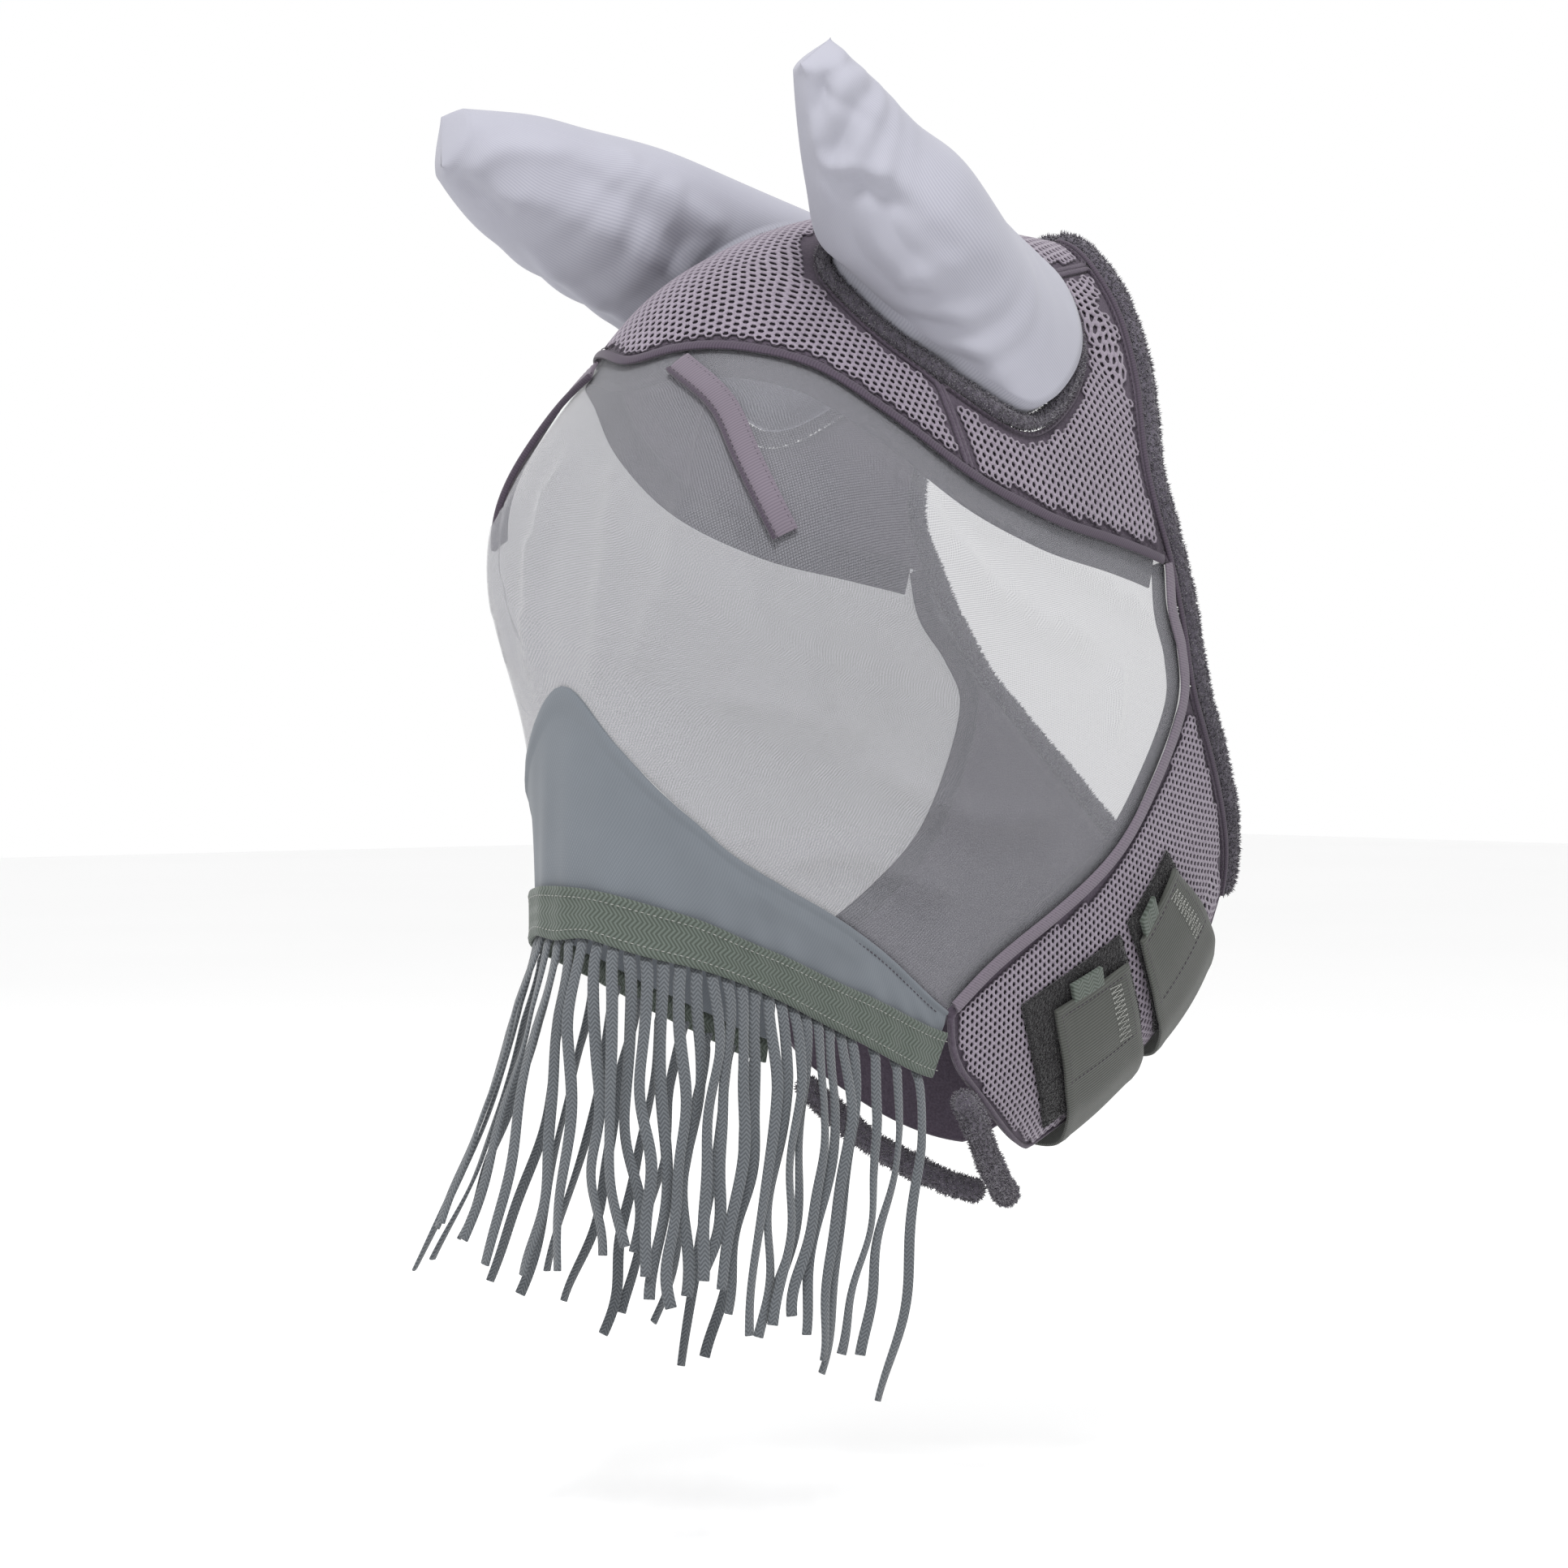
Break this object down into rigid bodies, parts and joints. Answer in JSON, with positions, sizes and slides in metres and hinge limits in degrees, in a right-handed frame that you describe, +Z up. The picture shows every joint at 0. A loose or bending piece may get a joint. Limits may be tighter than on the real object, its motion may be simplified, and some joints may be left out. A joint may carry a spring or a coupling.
{
  "type": "fly mask",
  "caption": "Horse fly mask: see-through face mesh, covered ears, spacer-mesh crown and cheeks, nose fringe and two hook-and-loop jaw straps.",
  "frame": {"origin": "on the horse's poll, in the middle between the two ears, where the crown rests (its inner face passes about 4 mm below this point at the mid-plane)", "axes": "+Z up, the face looks along -Y, +X is the horse's left (near) side, where the straps close"},
  "size_m": [0.2725, 0.454, 0.6467],
  "materials": {
    "spacer_mesh": "open 3D knit, matt",
    "face_net": "fine see-through net, matt",
    "jersey": "smooth stretch jersey, matt",
    "fleece": "brushed fleece pile",
    "nose_cloth": "plain close weave, matt",
    "binding": "woven tape, matt",
    "webbing": "herringbone webbing, matt",
    "cord": "flat knitted cord, matt",
    "loop_tape": "hook-and-loop pile, matt",
    "strap_web": "fine-ribbed webbing, matt"
  },
  "bodies": {
    "mask": {"brow_binding": "binding", "brow_facing": "binding", "brow_panel": "spacer_mesh", "face_mesh": "face_net", "front_loop_patch": "loop_tape", "left_cheek_band": "spacer_mesh", "left_cheek_binding": "binding", "left_chin_roll": "fleece", "left_ear_cover": "jersey", "left_ear_opening_fleece": "fleece", "left_eye_dart_tape": "binding", "left_rear_fleece": "fleece", "left_temple_panel": "spacer_mesh", "nose_panel": "nose_cloth", "noseband": "webbing", "poll_panel": "spacer_mesh", "rear_loop_patch": "loop_tape", "right_cheek_band": "spacer_mesh", "right_cheek_binding": "binding", "right_chin_roll": "fleece", "right_ear_cover": "jersey", "right_ear_opening_fleece": "fleece", "right_eye_dart_tape": "binding", "right_rear_fleece": "fleece", "right_temple_panel": "spacer_mesh"},
    "front_flap": {"front_closure_strap": "strap_web", "front_hook_tape": "loop_tape", "front_pull_tab": "webbing"},
    "rear_flap": {"rear_closure_strap": "strap_web", "rear_hook_tape": "loop_tape", "rear_pull_tab": "webbing"},
    "cord_01": {"fringe_cord_01": "cord"},
    "cord_02": {"fringe_cord_02": "cord"},
    "cord_03": {"fringe_cord_03": "cord"},
    "cord_04": {"fringe_cord_04": "cord"},
    "cord_05": {"fringe_cord_05": "cord"},
    "cord_06": {"fringe_cord_06": "cord"},
    "cord_07": {"fringe_cord_07": "cord"},
    "cord_08": {"fringe_cord_08": "cord"},
    "cord_09": {"fringe_cord_09": "cord"},
    "cord_10": {"fringe_cord_10": "cord"},
    "cord_11": {"fringe_cord_11": "cord"},
    "cord_12": {"fringe_cord_12": "cord"},
    "cord_13": {"fringe_cord_13": "cord"},
    "cord_14": {"fringe_cord_14": "cord"},
    "cord_15": {"fringe_cord_15": "cord"},
    "cord_16": {"fringe_cord_16": "cord"},
    "cord_17": {"fringe_cord_17": "cord"},
    "cord_18": {"fringe_cord_18": "cord"},
    "cord_19": {"fringe_cord_19": "cord"},
    "cord_20": {"fringe_cord_20": "cord"},
    "cord_21": {"fringe_cord_21": "cord"},
    "cord_22": {"fringe_cord_22": "cord"},
    "cord_23": {"fringe_cord_23": "cord"},
    "cord_24": {"fringe_cord_24": "cord"},
    "cord_25": {"fringe_cord_25": "cord"},
    "cord_26": {"fringe_cord_26": "cord"},
    "cord_27": {"fringe_cord_27": "cord"},
    "cord_28": {"fringe_cord_28": "cord"}
  },
  "joints": [
    {"name": "front_strap_peel", "type": "hinge", "parent": "mask", "child": "front_flap", "pos_m": [-0.04694, 0.19193, -0.40101], "axis": [0, 0.8184, 0.5746], "range_deg": [0, 110]},
    {"name": "rear_strap_peel", "type": "hinge", "parent": "mask", "child": "rear_flap", "pos_m": [-0.04756, 0.24585, -0.35715], "axis": [0, 0.6332, 0.774], "range_deg": [0, 110]},
    {"name": "fringe_swing_01", "type": "hinge", "parent": "mask", "child": "cord_01", "pos_m": [-0.06337, 0.04851, -0.41411], "axis": [0.0905, 0.9959, 0], "range_deg": [-5, 40]},
    {"name": "fringe_swing_02", "type": "hinge", "parent": "mask", "child": "cord_02", "pos_m": [-0.06449, 0.03356, -0.40824], "axis": [0.0613, 0.9981, 0], "range_deg": [-5, 40]},
    {"name": "fringe_swing_03", "type": "hinge", "parent": "mask", "child": "cord_03", "pos_m": [-0.06523, 0.01896, -0.40165], "axis": [0.0415, 0.9991, 0], "range_deg": [-5, 40]},
    {"name": "fringe_swing_04", "type": "hinge", "parent": "mask", "child": "cord_04", "pos_m": [-0.0657, 0.00426, -0.39529], "axis": [0.0234, 0.9997, 0], "range_deg": [-5, 40]},
    {"name": "fringe_swing_05", "type": "hinge", "parent": "mask", "child": "cord_05", "pos_m": [-0.06597, -0.01044, -0.38891], "axis": [0.0118, 0.9999, 0], "range_deg": [-5, 40]},
    {"name": "fringe_swing_06", "type": "hinge", "parent": "mask", "child": "cord_06", "pos_m": [-0.0659, -0.02511, -0.3823], "axis": [-0.0294, 0.9996, 0], "range_deg": [-5, 40]},
    {"name": "fringe_swing_07", "type": "hinge", "parent": "mask", "child": "cord_07", "pos_m": [-0.065, -0.03971, -0.37548], "axis": [-0.0957, 0.9954, 0], "range_deg": [-5, 40]},
    {"name": "fringe_swing_08", "type": "hinge", "parent": "mask", "child": "cord_08", "pos_m": [-0.06313, -0.05442, -0.36915], "axis": [-0.1534, 0.9882, 0], "range_deg": [-5, 40]},
    {"name": "fringe_swing_09", "type": "hinge", "parent": "mask", "child": "cord_09", "pos_m": [-0.06037, -0.06924, -0.3634], "axis": [-0.2268, 0.9739, 0], "range_deg": [-5, 40]},
    {"name": "fringe_swing_10", "type": "hinge", "parent": "mask", "child": "cord_10", "pos_m": [-0.0556, -0.08413, -0.35848], "axis": [-0.3913, 0.9203, 0], "range_deg": [-5, 40]},
    {"name": "fringe_swing_11", "type": "hinge", "parent": "mask", "child": "cord_11", "pos_m": [-0.04787, -0.09816, -0.35463], "axis": [-0.5708, 0.8211, 0], "range_deg": [-5, 40]},
    {"name": "fringe_swing_12", "type": "hinge", "parent": "mask", "child": "cord_12", "pos_m": [-0.03729, -0.11018, -0.35045], "axis": [-0.7465, 0.6654, 0], "range_deg": [-5, 40]},
    {"name": "fringe_swing_13", "type": "hinge", "parent": "mask", "child": "cord_13", "pos_m": [-0.02413, -0.11907, -0.3456], "axis": [-0.8988, 0.4383, 0], "range_deg": [-5, 40]},
    {"name": "fringe_swing_14", "type": "hinge", "parent": "mask", "child": "cord_14", "pos_m": [-0.00828, -0.12398, -0.34504], "axis": [-0.9887, 0.15, 0], "range_deg": [-5, 40]},
    {"name": "fringe_swing_15", "type": "hinge", "parent": "mask", "child": "cord_15", "pos_m": [0.00828, -0.12398, -0.34504], "axis": [-0.9887, -0.15, 0], "range_deg": [-5, 40]},
    {"name": "fringe_swing_16", "type": "hinge", "parent": "mask", "child": "cord_16", "pos_m": [0.02413, -0.11907, -0.3456], "axis": [-0.8988, -0.4383, 0], "range_deg": [-5, 40]},
    {"name": "fringe_swing_17", "type": "hinge", "parent": "mask", "child": "cord_17", "pos_m": [0.03729, -0.11018, -0.35045], "axis": [-0.7465, -0.6654, 0], "range_deg": [-5, 40]},
    {"name": "fringe_swing_18", "type": "hinge", "parent": "mask", "child": "cord_18", "pos_m": [0.04787, -0.09816, -0.35463], "axis": [-0.5708, -0.8211, 0], "range_deg": [-5, 40]},
    {"name": "fringe_swing_19", "type": "hinge", "parent": "mask", "child": "cord_19", "pos_m": [0.0556, -0.08413, -0.35848], "axis": [-0.3913, -0.9203, 0], "range_deg": [-5, 40]},
    {"name": "fringe_swing_20", "type": "hinge", "parent": "mask", "child": "cord_20", "pos_m": [0.06037, -0.06924, -0.3634], "axis": [-0.2268, -0.9739, 0], "range_deg": [-5, 40]},
    {"name": "fringe_swing_21", "type": "hinge", "parent": "mask", "child": "cord_21", "pos_m": [0.06313, -0.05442, -0.36915], "axis": [-0.1534, -0.9882, 0], "range_deg": [-5, 40]},
    {"name": "fringe_swing_22", "type": "hinge", "parent": "mask", "child": "cord_22", "pos_m": [0.065, -0.03971, -0.37548], "axis": [-0.0957, -0.9954, 0], "range_deg": [-5, 40]},
    {"name": "fringe_swing_23", "type": "hinge", "parent": "mask", "child": "cord_23", "pos_m": [0.0659, -0.02511, -0.3823], "axis": [-0.0294, -0.9996, 0], "range_deg": [-5, 40]},
    {"name": "fringe_swing_24", "type": "hinge", "parent": "mask", "child": "cord_24", "pos_m": [0.06597, -0.01044, -0.38891], "axis": [0.0118, -0.9999, 0], "range_deg": [-5, 40]},
    {"name": "fringe_swing_25", "type": "hinge", "parent": "mask", "child": "cord_25", "pos_m": [0.0657, 0.00426, -0.39529], "axis": [0.0234, -0.9997, 0], "range_deg": [-5, 40]},
    {"name": "fringe_swing_26", "type": "hinge", "parent": "mask", "child": "cord_26", "pos_m": [0.06523, 0.01896, -0.40165], "axis": [0.0415, -0.9991, 0], "range_deg": [-5, 40]},
    {"name": "fringe_swing_27", "type": "hinge", "parent": "mask", "child": "cord_27", "pos_m": [0.06449, 0.03356, -0.40824], "axis": [0.0613, -0.9981, 0], "range_deg": [-5, 40]},
    {"name": "fringe_swing_28", "type": "hinge", "parent": "mask", "child": "cord_28", "pos_m": [0.06337, 0.04851, -0.41411], "axis": [0.0905, -0.9959, 0], "range_deg": [-5, 40]}
  ],
  "couplings": [
    {"joint": "fringe_swing_02", "follows": "fringe_swing_01", "ratio": 1},
    {"joint": "fringe_swing_03", "follows": "fringe_swing_01", "ratio": 1},
    {"joint": "fringe_swing_04", "follows": "fringe_swing_01", "ratio": 1},
    {"joint": "fringe_swing_05", "follows": "fringe_swing_01", "ratio": 1},
    {"joint": "fringe_swing_06", "follows": "fringe_swing_01", "ratio": 1},
    {"joint": "fringe_swing_07", "follows": "fringe_swing_01", "ratio": 1},
    {"joint": "fringe_swing_08", "follows": "fringe_swing_01", "ratio": 1},
    {"joint": "fringe_swing_09", "follows": "fringe_swing_01", "ratio": 1},
    {"joint": "fringe_swing_10", "follows": "fringe_swing_01", "ratio": 1},
    {"joint": "fringe_swing_11", "follows": "fringe_swing_01", "ratio": 1},
    {"joint": "fringe_swing_12", "follows": "fringe_swing_01", "ratio": 1},
    {"joint": "fringe_swing_13", "follows": "fringe_swing_01", "ratio": 1},
    {"joint": "fringe_swing_14", "follows": "fringe_swing_01", "ratio": 1},
    {"joint": "fringe_swing_15", "follows": "fringe_swing_01", "ratio": 1},
    {"joint": "fringe_swing_16", "follows": "fringe_swing_01", "ratio": 1},
    {"joint": "fringe_swing_17", "follows": "fringe_swing_01", "ratio": 1},
    {"joint": "fringe_swing_18", "follows": "fringe_swing_01", "ratio": 1},
    {"joint": "fringe_swing_19", "follows": "fringe_swing_01", "ratio": 1},
    {"joint": "fringe_swing_20", "follows": "fringe_swing_01", "ratio": 1},
    {"joint": "fringe_swing_21", "follows": "fringe_swing_01", "ratio": 1},
    {"joint": "fringe_swing_22", "follows": "fringe_swing_01", "ratio": 1},
    {"joint": "fringe_swing_23", "follows": "fringe_swing_01", "ratio": 1},
    {"joint": "fringe_swing_24", "follows": "fringe_swing_01", "ratio": 1},
    {"joint": "fringe_swing_25", "follows": "fringe_swing_01", "ratio": 1},
    {"joint": "fringe_swing_26", "follows": "fringe_swing_01", "ratio": 1},
    {"joint": "fringe_swing_27", "follows": "fringe_swing_01", "ratio": 1},
    {"joint": "fringe_swing_28", "follows": "fringe_swing_01", "ratio": 1}
  ]
}
